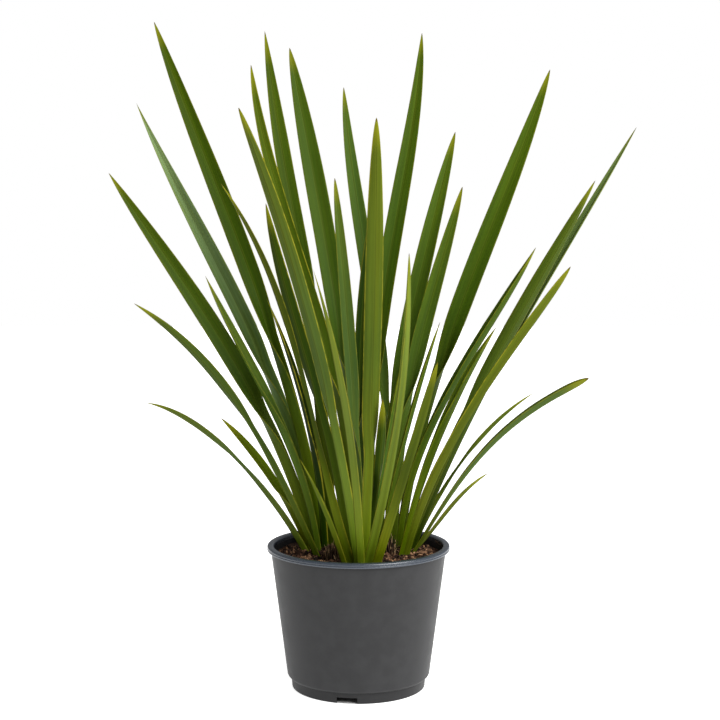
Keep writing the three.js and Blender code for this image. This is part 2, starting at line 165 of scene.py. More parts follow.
# Every leaf: the points that its middle line passes through, from the root on the
# mix up to the tip, and the full width of its open blade.
LEAVES = [
    # Left fan
    {"name": "leaf_left_1", "width": 13, "widest": 0.6, "foot": 0.85, "opens_at": 0.52,
     "turn": -70,
     "light": 0.82, "painted_foot_light": 1.8, "warm": 1.01, "blue": 2.9,
     "line": [(-51, -10), (-102, -36, 281), (-167, -69, 391), (-256, -110, 478)]},
    {"name": "leaf_left_2", "width": 8, "widest": 0.7, "foot": 1.45, "taper": 0.85,
     "opens_at": 0.555, "turn": -70,
     "tone": "fresh", "light": 0.85, "painted_foot_light": 1.2, "warm": 0.97, "blue": 2.6,
     "line": [(-64, 4), (-116, 19, 239), (-188, 38, 308), (-267, 60, 343)]},
    {"name": "leaf_left_3", "width": 13, "foot": 0.7, "open": 60, "turn": 50,
     "tone": "deep", "light": 1.41, "warm": 1.13, "blue": 0.3,
     "line": [(-61, 13), (-104, -9, 257), (-164, -40, 337)]},
    {"name": "leaf_left_4", "width": 20, "widest": 0.62, "foot": 0.6, "taper": 0.85,
     "opens_at": 0.5, "open": 48, "turn": 30,
     "tone": "fresh", "light": 1.09, "painted_foot_light": 0.92, "warm": 0.85, "blue": 1.8,
     "line": [(-50, 20), (-83, 33, 287), (-136, 50, 395), (-192, 70, 502)]},
    {"name": "leaf_left_5", "width": 25, "widest": 0.5, "foot": 0.865, "taper": 0.78,
     "opens_at": 0.28,
     "tone": "deep", "light": 1.07, "painted_foot_light": 1.89, "warm": 0.96, "blue": 1.4, "halves": 0.9,
     "line": [(-55, 27), (-119, 47, 331), (-213, 71, 485), (-316, 100, 631)]},
    {"name": "leaf_left_6", "width": 13, "foot": 1.1, "taper": 1, "open": 36, "turn": 28,
     "tone": "olive", "light": 0.25, "painted_foot_light": 2.2, "warm": 0.55, "blue": 0.2, "margin": 0.8,
     "line": [(-42, 33), (-62, 15, 326), (-111, -10, 479)]},
    {"name": "leaf_left_7", "width": 25.6, "widest": 0.56, "foot": 0.86, "opens_at": 0.41,
     "tone": "deep", "light": 0.89, "painted_foot_light": 2.2, "warm": 0.91, "blue": 0.4, "halves": 0.5,
     "line": [(-46, 39), (-94, 53, 385), (-172, 70, 603), (-255, 90, 818)]},
    {"name": "leaf_left_8", "width": 26, "widest": 0.54, "foot": 1.02, "taper": 0.95,
     "opens_at": 0.35, "open": 55,
     "tone": "sage", "light": 1.41, "painted_foot_light": 1.39, "warm": 1.04, "blue": 1.3, "halves": 1.0,
     "line": [(-50, 47), (-105, 75, 359), (-194, 110, 542), (-287, 150, 722)]},
    # Front fan
    {"name": "leaf_front_1", "width": 9.5, "widest": 0.3, "foot": 1, "taper": 1.2, "open": 14,
     "turn": 10,
     "tone": "fresh", "light": 0.74, "painted_foot_light": 0.87, "warm": 1.03, "blue": 0.6,
     "line": [(-16, -63), (-41, -92, 240), (-68, -130, 304)]},
    {"name": "leaf_front_2", "width": 17, "widest": 0.4, "foot": 0.96, "opens_at": 0.55,
     "open": 34, "turns_at": 0.2, "turn": -70,
     "tone": "fresh", "light": 0.45, "painted_foot_light": 2.09, "warm": 1.04, "blue": 0.5, "margin": 0.6,
     "line": [(-8, -58.5), (-48.5, -75, 320), (-88, -95, 473), (-155, -120, 614)]},
    {"name": "leaf_front_3", "width": 17.4, "widest": 0.6, "foot": 0.98, "taper": 0.6,
     "opens_at": 0.3, "turns_at": 0.3, "turn": -70,
     "tone": "fresh", "light": 0.77, "painted_foot_light": 1.88, "warm": 0.95, "blue": 2.0,
     "halves": 0.05, "margin": 0.6,
     "line": [(0, -62), (-50, -114, 438), (-129, -190, 694)]},
    {"name": "leaf_front_4", "width": 15, "widest": 0.4, "foot": 1, "taper": 1, "opens_at": 0.5,
     "open": 40, "turn": -40,
     "tone": "pale", "light": 0.61, "painted_foot_light": 1.69, "blue": 1.6, "halves": 0.1,
     "line": [(3, -71), (-13, -138, 353), (-48, -230, 522)]},
    {"name": "leaf_front_5", "width": 22, "widest": 0.6, "foot": 0.86, "taper": 0.64,
     "opens_at": 0.24, "turns_at": 0.24, "turn": -76,
     "tone": "fresh", "light": 0.9, "painted_foot_light": 1.54, "warm": 1.02, "halves": -0.25,
     "margin": 0.7,
     "line": [(7, -55), (16, -99, 427), (20, -160, 685)]},
    {"name": "leaf_front_6", "width": 17, "widest": 0.25, "foot": 1.1, "taper": 0.65, "open": 24,
     "turn": 14,
     "tone": "pale", "light": 0.8, "painted_foot_light": 1.31, "warm": 0.98, "blue": 1.5,
     "line": [(10, -66), (46, -122, 356), (55, -200, 538)]},
    {"name": "leaf_front_7", "width": 9, "foot": 1, "open": 30, "turn": 20,
     "light": 1.12, "warm": 0.82, "blue": 1.3,
     "line": [(15, -42), (30, -59, 286), (50, -82, 405)]},
    {"name": "leaf_front_8", "width": 13, "widest": 0.7, "foot": 0.9, "opens_at": 0.5,
     "turn": -60,
     "tone": "olive", "light": 0.49, "warm": 0.71, "blue": 0.2,
     "line": [(11, -49), (18, -60, 235), (25, -75, 301), (28, -92, 366)]},
    {"name": "leaf_front_9", "width": 17, "widest": 0.7, "foot": 1.05, "opens_at": 0.55,
     "open": 42, "turn": -30,
     "light": 0.96, "painted_foot_light": 1.74, "warm": 1.21, "blue": 0.8,
     "line": [(20, -73), (57, -132, 300), (86, -210, 421)]},
    # Back fan
    {"name": "leaf_back_1", "width": 17, "widest": 0.66, "foot": 1.15, "opens_at": 0.45,
     "turn": -72,
     "tone": "deep", "light": 0.61, "painted_foot_light": 2.07, "warm": 0.86, "blue": 0.2, "margin": 0.7,
     "line": [(-11, -30), (-36, -38, 315), (-74, -48, 453), (-108, -60, 592)]},
    {"name": "leaf_back_2", "width": 14.5, "widest": 0.7, "foot": 1.6, "taper": 0.66,
     "light": 0.98, "warm": 1.04, "blue": 0.5, "margin": 0.6,
     "line": [(-10, -18), (-26, -19, 370), (-82, -19, 561), (-127, -20, 755)]},
    {"name": "leaf_back_3", "width": 21, "widest": 0.72, "foot": 1.42, "taper": 0.76,
     "opens_at": 0.3,
     "light": 0.86, "warm": 0.95, "blue": 0.9, "halves": 0.15,
     "line": [(-34, 54), (-59, 77, 440), (-87, 106, 606), (-120, 140, 812)]},
    {"name": "leaf_back_4", "width": 28.4, "widest": 0.66,
     "light": 0.96, "warm": 0.92, "blue": 1.3, "halves": 0.75,
     "line": [(4, 44), (-16, 88, 378), (-50, 140, 589), (-91, 200, 797)]},
    {"name": "leaf_back_5", "width": 17, "widest": 0.5, "taper": 0.62, "opens_at": 0.25,
     "tone": "fresh", "light": 0.85, "warm": 0.85, "blue": 2.4, "halves": 0.5,
     "line": [(6, 10), (-9, 18, 396), (-29, 30, 623)]},
    {"name": "leaf_back_6", "width": 16, "foot": 1.7,
     "tone": "deep", "light": 0.48, "warm": 0.7, "blue": 0.2,
     "line": [(7, 28), (2, 63, 390), (22, 110, 609)]},
    {"name": "leaf_back_7", "width": 20.5, "widest": 0.6, "taper": 0.7, "opens_at": 0.28,
     "turns_at": 0.28,
     "light": 1.3, "warm": 0.9, "blue": 2.7, "halves": -0.6,
     "line": [(37, 60), (32, 108, 365), (4, 165, 558), (-20, 230, 748)]},
    {"name": "leaf_back_8", "width": 24.3, "widest": 0.5, "foot": 0.75, "opens_at": 0.22,
     "turns_at": 0.24,
     "tone": "deep", "light": 1.26, "warm": 0.92, "blue": 1.5, "halves": 0.75,
     "line": [(17, 54), (24, 83, 420), (57, 118, 625), (82, 160, 812)]},
    {"name": "leaf_back_9", "width": 23.5, "widest": 0.62, "opens_at": 0.3,
     "light": 1.16, "warm": 0.95, "blue": 1.3, "halves": 0.6,
     "line": [(24, 32), (45, 58, 341), (81, 91, 515), (124, 130, 684)]},
    {"name": "leaf_back_10", "width": 20.8, "widest": 0.54, "foot": 1.05, "taper": 0.66,
     "opens_at": 0.42,
     "light": 1.16, "warm": 0.95, "blue": 1.8, "halves": 0.45,
     "line": [(42, 20), (58, 32, 335), (89, 45, 472), (129, 60, 613)]},
    # Right fan
    {"name": "leaf_right_1", "width": 9.4, "foot": 0.8, "open": 26, "turn": 20,
     "light": 1.07, "painted_foot_light": 1.4, "warm": 0.94, "blue": 0.7,
     "line": [(27, 8), (57, -12, 311), (97, -40, 452)]},
    {"name": "leaf_right_2", "width": 19, "foot": 0.45, "taper": 0.85, "opens_at": 0.6,
     "open": 34, "turn": 24,
     "tone": "olive", "light": 1.14, "painted_foot_light": 0.99, "warm": 0.84, "blue": 0.2, "halves": 0.5,
     "line": [(52, -8), (78, -32, 265), (113, -62, 361), (159, -100, 451)]},
    {"name": "leaf_right_3", "width": 19, "widest": 0.75, "foot": 0.85, "taper": 0.62, "open": 42,
     "turn": -20,
     "tone": "olive", "light": 1.29, "painted_foot_light": 0.99, "warm": 1.05, "blue": 3.1, "margin": 0.7,
     "line": [(58, 0), (104, -49, 297), (166, -112, 415), (231, -190, 523)]},
    {"name": "leaf_right_4", "width": 19, "widest": 0.66, "foot": 0.6, "taper": 0.78, "open": 28,
     "turn": 20,
     "light": 0.96, "painted_foot_light": 2.2, "warm": 0.92, "blue": 1.1,
     "line": [(51, 34), (84, 41, 300), (149, 50, 421), (221, 60, 538)]},
    {"name": "leaf_right_5", "width": 20, "widest": 0.55, "foot": 0.9, "turn": -66,
     "light": 0.87, "warm": 1.05, "blue": 1.1, "halves": 0.1,
     "line": [(58, 15), (121, -24, 323), (192, -75, 473), (264, -140, 617)]},
    {"name": "leaf_right_6", "width": 16, "widest": 0.6, "foot": 1.1, "open": 45, "turn": 40,
     "tone": "sage", "light": 1.13, "blue": 0.9,
     "line": [(65, 21), (138, -10, 341), (226, -49, 511), (316, -100, 678)]},
    {"name": "leaf_right_7", "width": 26.6, "widest": 0.56, "foot": 0.7, "taper": 0.7,
     "opens_at": 0.35, "turns_at": 0.35,
     "tone": "deep", "light": 1.3, "warm": 0.92, "blue": 1.3, "halves": 0.1,
     "line": [(52, 46), (97, 63, 373), (169, 85, 568), (242, 110, 761)]},
    {"name": "leaf_right_8", "width": 14.4, "widest": 0.88, "foot": 0.42, "taper": 0.6,
     "open": 26, "turn": 8,
     "light": 1.29, "warm": 1.03, "blue": 4.4,
     "line": [(68, 8), (108, -6, 232), (153, -24, 296), (207, -45, 348), (270, -70, 388)]},
    {"name": "leaf_right_9", "width": 6.4, "widest": 0.62, "foot": 1.4, "opens_at": 0.56,
     "turn": -66,
     "light": 1.06, "warm": 1.06, "blue": 1.9,
     "line": [(66, 27), (103, 29, 235), (153, 32, 304), (217, 36, 358)]},
    {"name": "leaf_right_10", "width": 7.4, "widest": 0.5, "foot": 0.75, "taper": 0.6, "open": 18,
     "turn": 8,
     "tone": "olive", "light": 0.94, "warm": 1.01, "blue": 6.0,
     "line": [(73, 34), (100, 46, 193), (129, 62, 224), (165, 80, 250)]},
]

# The greens of a leaf at its foot, halfway and near its tip
TONES = {
    "deep": ("394305", "304205", "3d4d06"),
    "mid": ("3e4a06", "394d0c", "42540b"),
    "fresh": ("566412", "4c5e18", "536010"),
    "pale": ("5c6a14", "62721f", "788826"),
    "olive": ("4a5406", "424e03", "4c5905"),
    "sage": ("2a3704", "3c5020", "647a44"),
}

# Other colours of a leaf, and what the green is multiplied by at a fresh foot and in
# its yellower streaks. The midrib's dark colour also paints shade into the crease of
# the fold, and what the lighter half adds is a painted sheen.
MIDRIB_AND_CREASE_SHADE_COLOR = "3c3f08"
BESIDE_MIDRIB_COLOR = "808a2c"
MARGIN_COLOR = "9a9224"
END_COLOR = "7d7e12"
POINT_COLOR = "5a4a12"
PAINTED_SHEEN_ADDS = "101a0c"
FRESH_FOOT = (1.08, 1.2, 0.5, 1.0)
YELLOW_STREAK = (1.12, 1.0, 0.55, 1.0)

# Clumps of dried leaf bases: the middle of each, the half-widths and the height that it
# fills, and how many strips stand in it
STUBS = [
    {"name": "dried_leaf_bases_left", "at": (-31, -30), "spread": (10, 7),
     "height": 28, "strips": 60},
    {"name": "dried_leaf_bases_right", "at": (39, -8), "spread": (7.5, 6.5),
     "height": 32, "strips": 56},
]


# Small helpers

def smoothstep(value, low, high):
    t = min(max((value - low) / (high - low), 0.0), 1.0)
    return t * t * (3 - 2 * t)


def linear(code):
    """A six-digit sRGB colour code as a linear colour with alpha."""
    channels = [int(code[i:i + 2], 16) / 255 for i in (0, 2, 4)]
    return tuple(c / 12.92 if c <= 0.04045 else ((c + 0.055) / 1.055) ** 2.4 for c in channels) + (1.0,)


def mesh_piece(name, verts, faces, attributes=None, smooth=True):
    """A mesh object from points in millimetres, with point attributes by name."""
    mesh = bpy.data.meshes.new(name)
    mesh.from_pydata([tuple(c * MM for c in v) for v in verts], [], faces)
    for key, values in (attributes or {}).items():
        if isinstance(values[0], (int, float)):
            layer = mesh.attributes.new(key, "FLOAT", "POINT")
            layer.data.foreach_set("value", values)
        else:
            layer = mesh.attributes.new(key, "FLOAT_VECTOR", "POINT")
            layer.data.foreach_set("vector", [c for v in values for c in v])
    mesh.polygons.foreach_set("use_smooth", [smooth] * len(mesh.polygons))
    mesh.validate()
    mesh.update()
    piece = bpy.data.objects.new(name, mesh)
    bpy.context.scene.collection.objects.link(piece)
    return piece


def ring_faces(rings, sides, close_top=False, close_bottom=False):
    """Quads between equal rings of points, each ring running anticlockwise from above."""
    faces = []
    for r in range(rings - 1):
        low, high = r * sides, (r + 1) * sides
        for s in range(sides):
            n = (s + 1) % sides
            faces.append((low + s, low + n, high + n, high + s))
    if close_bottom:
        faces.append(tuple(reversed(range(sides))))
    if close_top:
        faces.append(tuple(range((rings - 1) * sides, rings * sides)))
    return faces


def place(piece, node, material):
    """Stand a dressed piece in for its CAD node."""
    piece.data.materials.clear()
    piece.data.materials.append(material)
    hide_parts(node)
    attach(piece, "root")


# Materials

class Graph:
    """A material's node graph, with short calls for the nodes that these looks use."""

    def __init__(self, name):
        self.material = bpy.data.materials.new(name)
        self.material.use_nodes = True
        self.tree = self.material.node_tree
        self.shader = self.tree.nodes["Principled BSDF"]

    def value(self, socket, source):
        if isinstance(source, bpy.types.NodeSocket):
            self.tree.links.new(source, socket)
        else:
            socket.default_value = source

    def node(self, kind, **settings):
        made = self.tree.nodes.new(kind)
        for key, setting in settings.items():
            setattr(made, key, setting)
        return made

    def math(self, operation, a, b=0.0, c=0.0):
        made = self.node("ShaderNodeMath", operation=operation)
        for socket, source in zip(made.inputs, (a, b, c)):
            self.value(socket, source)
        return made.outputs[0]

    def attribute(self, name):
        return self.node("ShaderNodeAttribute", attribute_name=name)

    def split(self, vector):
        made = self.node("ShaderNodeSeparateXYZ")
        self.value(made.inputs[0], vector)
        return made.outputs

    def join(self, x, y, z):
        made = self.node("ShaderNodeCombineXYZ")
        for socket, source in zip(made.inputs, (x, y, z)):
            self.value(socket, source)
        return made.outputs[0]

    def noise(self, vector, scale, detail=2.0, rough=0.5):
        made = self.node("ShaderNodeTexNoise")
        self.value(made.inputs["Vector"], vector)
        made.inputs["Scale"].default_value = scale
        made.inputs["Detail"].default_value = detail
        made.inputs["Roughness"].default_value = rough
        return made.outputs["Fac"]

    def ramp(self, factor, stops):
        made = self.node("ShaderNodeValToRGB")
        self.value(made.inputs[0], factor)
        elements = made.color_ramp.elements
        while len(elements) < len(stops):
            elements.new(0.5)
        for element, (position, color) in zip(elements, stops):
            element.position = position
            element.color = color
        return made.outputs[0]

    def between(self, factor, low, high, start=0.0, end=1.0):
        made = self.node("ShaderNodeMapRange", interpolation_type="SMOOTHSTEP")
        for socket, source in zip(made.inputs, (factor, low, high, start, end)):
            self.value(socket, source)
        return made.outputs[0]

    def mix(self, factor, a, b, blend="MIX"):
        made = self.node("ShaderNodeMix", data_type="RGBA", blend_type=blend)
        self.value(made.inputs["Factor"], factor)
        self.value(made.inputs[6], a)
        self.value(made.inputs[7], b)
        return made.outputs[2]

    def tint(self, color, factor):
        """The colour made lighter or darker by a factor."""
        return self.mix(1.0, color, self.join(factor, factor, factor), blend="MULTIPLY")

    def bump(self, height, strength, distance):
        made = self.node("ShaderNodeBump")
        self.value(made.inputs["Height"], height)
        made.inputs["Strength"].default_value = strength
        made.inputs["Distance"].default_value = distance
        self.value(self.shader.inputs["Normal"], made.outputs[0])

    def finish(self, color, roughness, specular=0.5):
        self.value(self.shader.inputs["Base Color"], color)
        self.value(self.shader.inputs["Roughness"], roughness)
        self.value(self.shader.inputs["Specular IOR Level"], specular)
        return self.material


def leaf_material(leaf, seed):
    """Greens that change along the blade, veins and bands, margins, midrib and a dried tip. Painted
    light and shade go in too: painted shade in each leaf's lightness, painted light and shade at its
    foot, a painted sheen in its blue and on one half, and painted shade along the fold.
    """
    g = Graph(leaf["name"])
    along, across, edge = g.split(g.attribute("blade").outputs["Vector"])
    low, middle, high = (linear(code) for code in TONES[leaf["tone"]])
    length = leaf["length"]

    def streaks(per_length, per_metre, shift, detail=2.0):
        """Noise drawn out along the blade, with so many cycles along it and across it."""
        lengthwise = g.math("MULTIPLY", along, per_length)
        crosswise = g.math("MULTIPLY", across, per_metre)
        return g.noise(g.join(lengthwise, crosswise, seed + shift), 1.0, detail=detail)

    drift = streaks(length / 120, 30.0, 0.0)
    place_along = g.math("ADD", along, g.between(drift, 0.2, 0.8, -0.07, 0.07))
    color = g.ramp(place_along, [(0.0, low), (0.14, low), (0.45, middle), (0.92, high)])
    fresh = g.mix(1.0, color, FRESH_FOOT, blend="MULTIPLY")
    color = g.mix(g.between(along, 0.03, 0.16, 0.9, 0.0), color, fresh)

    bands = streaks(length / 260, 300.0, 11.0)
    veins = streaks(length / 90, 1100.0, 23.0, detail=3.0)
    clouds = streaks(length / 40, 60.0, 37.0)
    # Painted shade: each leaf's lightness holds painted shade as well as its own tone.
    light = leaf["light"]
    # The blue factor holds a painted sheen as well as the leaf's own blue-grey.
    own = (light * leaf["warm"], light, light * leaf["blue"], 1.0)
    color = g.mix(1.0, color, own, blend="MULTIPLY")
    color = g.tint(color, g.between(bands, 0.3, 0.7, 0.88, 1.12))
    # Painted light above 1 and painted shade below 1, at the foot.
    color = g.tint(color, g.between(along, 0.1, 0.42, leaf["painted_foot_light"], 1.0))
    color = g.tint(color, g.between(veins, 0.25, 0.75, 0.93, 1.07))
    color = g.tint(color, g.between(clouds, 0.3, 0.7, 0.975, 1.025))
    yellower = g.mix(1.0, color, YELLOW_STREAK, blend="MULTIPLY")
    yellow_streaks = streaks(length / 160, 220.0, 51.0)
    color = g.mix(g.between(yellow_streaks, 0.42, 0.7, 0.0, 0.6), color, yellower)

    # Painted sheen: one half of the blade made lighter and bluer where it would catch the light.
    half = g.between(across, -0.0008, 0.0008)
    if leaf["halves"] > 0:
        half = g.math("SUBTRACT", 1.0, half)
    bluer = g.mix(0.85, color, linear(PAINTED_SHEEN_ADDS), blend="ADD")
    reach = g.math("MULTIPLY", half, g.between(along, 0.1, 0.35, 0.0, abs(leaf["halves"])))
    color = g.mix(reach, color, bluer)

    centre = g.math("ABSOLUTE", across)
    beside = g.between(centre, 0.0004, 0.001)
    beside = g.math("MULTIPLY", beside, g.between(centre, 0.001, 0.002, 1.0, 0.0))
    beside = g.math("MULTIPLY", beside, leaf["midrib"] * 0.3)
    color = g.mix(beside, color, linear(BESIDE_MIDRIB_COLOR))
    # A dark line along the fold: the midrib's own colour together with painted shade of the crease.
    midrib = g.between(centre, 0.0002, 0.0008, leaf["midrib"], 0.0)
    color = g.mix(midrib, color, linear(MIDRIB_AND_CREASE_SHADE_COLOR))
    patches = g.between(streaks(length / 14, 0.0, 71.0), 0.35, 0.6, 0.25, 1.0)
    margin = g.between(edge, 0.0003, 0.0011, leaf["margin"], 0.0)
    color = g.mix(g.math("MULTIPLY", margin, patches), color, linear(MARGIN_COLOR))

    tip, brown = leaf["tip"] / length, leaf["brown"] / length
    end = g.between(along, 1 - 3 * tip, 1 - 0.6 * tip, 0.0, 0.7)
    color = g.mix(end, color, linear(END_COLOR))
    point = g.between(along, 1 - 9 * brown, 1 - 4 * brown, 0.0, 0.85)
    color = g.mix(point, color, linear(POINT_COLOR))

    g.bump(g.math("ADD", veins, bands), 0.3, 0.0004)
    return g.finish(color, g.between(veins, 0.2, 0.8, 0.42, 0.56), specular=0.05)


def pot_material():
    """Satin charcoal plastic with a glossier rim, whose bluer colour is a painted cool
    reflection. Painted shade darkens it inside, under the foot, on the foot ring and in a
    line under the rim."""
    g = Graph("pot_plastic")
    skirt, step = (POT_HEIGHT - RIM_SKIRT) * MM, STEP_Z * MM
    place_at = g.node("ShaderNodeTexCoord").outputs["Object"]
    x, y, height = g.split(place_at)
    scuffs = g.noise(place_at, 60.0, detail=4.0)
    grain = g.noise(place_at, 2400.0, detail=1.0)
    color = g.ramp(g.between(scuffs, 0.3, 0.7), [(0.0, linear("2b2b2c")), (1.0, linear("313132"))])
    # Painted reflection: the rim's lighter, bluer colour stands in for cool light reflected off it.
    rim = g.between(height, skirt - 0.0005, skirt + 0.0005)
    color = g.mix(rim, color, linear("343b45"))

    # Painted shade: the inner wall and the underside of the foot darkened towards black.
    radius = g.math("SQRT", g.math("ADD", g.math("MULTIPLY", x, x), g.math("MULTIPLY", y, y)))
    slope = (BODY_TOP_RADIUS - BODY_FOOT_RADIUS) / (POT_HEIGHT - BODY_FOOT_Z)
    skin = g.math("MULTIPLY_ADD", height, slope, (BODY_FOOT_RADIUS - slope * BODY_FOOT_Z) * MM)
    within = g.between(g.math("SUBTRACT", skin, radius), 0.0006, 0.0014)
    inside = g.math("MULTIPLY", within, g.between(height, skirt + 0.0015, skirt + 0.0055, 1.0, 0.0))
    inside = g.math("MULTIPLY", inside, g.between(height, step, step + 0.0004))
    under = g.between(radius, (FOOT_RADIUS - 1.2) * MM, (FOOT_RADIUS - 0.6) * MM, 1.0, 0.0)
    under = g.math("MULTIPLY", under, g.between(height, step - 0.0004, step, 1.0, 0.0))
    color = g.tint(color, g.math("MULTIPLY_ADD", g.math("MAXIMUM", inside, under), -0.72, 1.0))

    # Painted shade on the foot ring below the step's overhang, and in a band under the rim's overhang.
    foot_ring_shade = g.between(height, step - 0.0004, step + 0.0003, 0.72, 1.0)
    under_rim_shade = g.between(height, skirt - 0.0045, skirt - 0.0003, 1.0, 0.72)
    under_rim_shade = g.math("MAXIMUM", under_rim_shade, g.between(height, skirt - 0.0003, skirt + 0.0001))
    color = g.tint(color, g.math("MULTIPLY", foot_ring_shade, under_rim_shade))

    g.bump(grain, 0.12, 0.0002)
    roughness = g.between(scuffs, 0.3, 0.7, 0.46, 0.54)
    roughness = g.math("SUBTRACT", roughness, g.math("MULTIPLY", rim, 0.24))
    specular = g.between(height, skirt - 0.0005, skirt + 0.0005, 0.2, 0.7)
    return g.finish(color, roughness, specular)


def mix_material():
    """Damp bark and fibre, each chip with its own shade of brown."""
    g = Graph("potting_mix")
    place_at = g.node("ShaderNodeTexCoord").outputs["Object"]
    shade = g.attribute("shade").outputs["Fac"]
    grain = g.noise(place_at, 900.0, detail=4.0, rough=0.65)
    clods = g.noise(place_at, 160.0, detail=3.0)
    tone = g.math("ADD", g.math("MULTIPLY", shade, 0.85), g.math("MULTIPLY", clods, 0.2))
    stops = [(0.08, linear("140b06")), (0.55, linear("533727")), (0.98, linear("b98f6b"))]
    color = g.ramp(tone, stops)
    color = g.tint(color, g.between(grain, 0.3, 0.7, 0.6, 1.3))
    g.bump(grain, 0.7, 0.001)
    return g.finish(color, 0.9, specular=0.2)


def stub_material():
    """Dried leaf, with fibres along each strip."""
    g = Graph("dried_leaf")
    shade = g.attribute("shade").outputs["Fac"]
    along, across, own = g.split(g.attribute("strand").outputs["Vector"])
    place_at = g.join(g.math("MULTIPLY", along, 3.0), g.math("MULTIPLY", across, 14.0), own)
    fibres = g.noise(place_at, 1.0, detail=3.0)
    stops = [(0.0, linear("1d130c")), (0.55, linear("453020")), (1.0, linear("b4966e"))]
    color = g.ramp(shade, stops)
    color = g.tint(color, g.between(fibres, 0.3, 0.7, 0.55, 1.35))
    g.bump(fibres, 0.6, 0.0006)
    return g.finish(color, 0.85, specular=0.2)


def floor_material():
    """White, and glowing softly all round the pot so that its shadow stays faint."""
    g = Graph("studio_floor")
    x, y, _ = g.split(g.node("ShaderNodeTexCoord").outputs["Object"])
    radius = g.math("SQRT", g.math("ADD", g.math("MULTIPLY", x, x), g.math("MULTIPLY", y, y)))
    g.shader.inputs["Emission Color"].default_value = (1.0, 1.0, 1.0, 1.0)
    glow = g.between(radius, GLOW_FROM * MM, GLOW_FULL * MM, 0.0, GLOW)
    g.value(g.shader.inputs["Emission Strength"], glow)
    return g.finish(linear("e4e4e3"), 0.9, specular=0.0)


# Leaves

def line_point(line, t):
    """The point at t on the smooth line through a few evenly spaced points."""
    last = len(line) - 1
    total = Vector((0.0, 0.0, 0.0))
    for i, point in enumerate(line):
        weight = 1.0
        for j in range(last + 1):
            weight *= 1.0 if j == i else (t * last - j) / (i - j)
        total += point * weight
    return total


def line_tangent(line, t):
    step = 1e-4
    return (line_point(line, min(t + step, 1.0)) - line_point(line, max(t - step, 0.0))).normalized()


def half_width(leaf, along):
    half = leaf["width"] / 2
    if along <= leaf["widest"]:
        return half * (leaf["foot"] + (1 - leaf["foot"]) * smoothstep(along, 0, leaf["widest"]))
    left = (1 - along) / (1 - leaf["widest"])
    return half * math.sin(math.pi / 2 * left ** leaf["taper"])


def leaf_axes(leaf, tangent, along):
    """Directions across the leaf: from the keel to the open side, and at right angles to it."""
    viewer = Vector((0.0, -1.0, 0.0))
    toward = (viewer - tangent * viewer.dot(tangent)).normalized()
    right = tangent.cross(toward)
    lean = leaf["line"][-1][0] - leaf["line"][0][0]
    keel_side = 1 if lean < 0 else -1
    span = TURNING_SPAN / 2
    turned = smoothstep(along, leaf["turns_at"] - span, leaf["turns_at"] + span)
    turn = math.radians(leaf["turn"]) * turned
    mouth = right * (keel_side * math.cos(turn)) + toward * math.sin(turn)
    return right, toward, mouth, tangent.cross(mouth)


def fold_angle(leaf, along):
    span = OPENING_SPAN / 2
    opened = smoothstep(along, leaf["opens_at"] - span, leaf["opens_at"] + span)
    return math.radians(FOLDED_ANGLE + (leaf["open"] - FOLDED_ANGLE) * opened)


def leaf_section(half, fold):
    """Points round the folded blade: how far towards its mouth, across, along its skin
    from the keel, and along its skin from the margin."""
    midrib = min(MIDRIB_THICKNESS, half * 0.4)
    margin = min(MARGIN_THICKNESS, half * 0.22) / 2
    keel = min(midrib / 2 / math.sin(fold), midrib * 0.8)
    valley = min(midrib / 2 / math.sin(fold), half * 0.55)
    deep, wide = half * math.cos(fold), half * math.sin(fold)
    thick = (margin * math.sin(fold), margin * math.cos(fold))
    bulge = half * 0.05
    points = []
    for i in range(HALF_POINTS + 1):
        s = i / HALF_POINTS
        swell = bulge * math.sin(math.pi * s)
        x = -keel * (1 - s) ** 1.4 + (deep - thick[0]) * s - swell * math.sin(fold)
        y = (wide + thick[1]) * s + swell * math.cos(fold)
        points.append((x, y, half * s, half * (1 - s)))
    proud = margin * 0.7
    points.append((deep + proud * math.cos(fold), wide + proud * math.sin(fold), half, 0.0))
    for i in range(HALF_POINTS + 1):
        s = 1 - i / HALF_POINTS
        swell = bulge * 0.7 * math.sin(math.pi * s) * smoothstep(fold, 0.2, 0.8)
        x = valley + (deep + thick[0] - valley) * s - swell * math.sin(fold)
        y = (wide - thick[1]) * s + swell * math.cos(fold)
        points.append((x, y, half * s, half * (1 - s)))
    mirrored = [(x, -y, -skin, margin) for x, y, skin, margin in reversed(points[1:-1])]
    return list(reversed(points + mirrored))


def leaf_stations():
    """Fractions along the leaf, closer together towards the tip."""
    return [math.sin(math.pi / 2 * i / LEAF_STATIONS) for i in range(LEAF_STATIONS)]


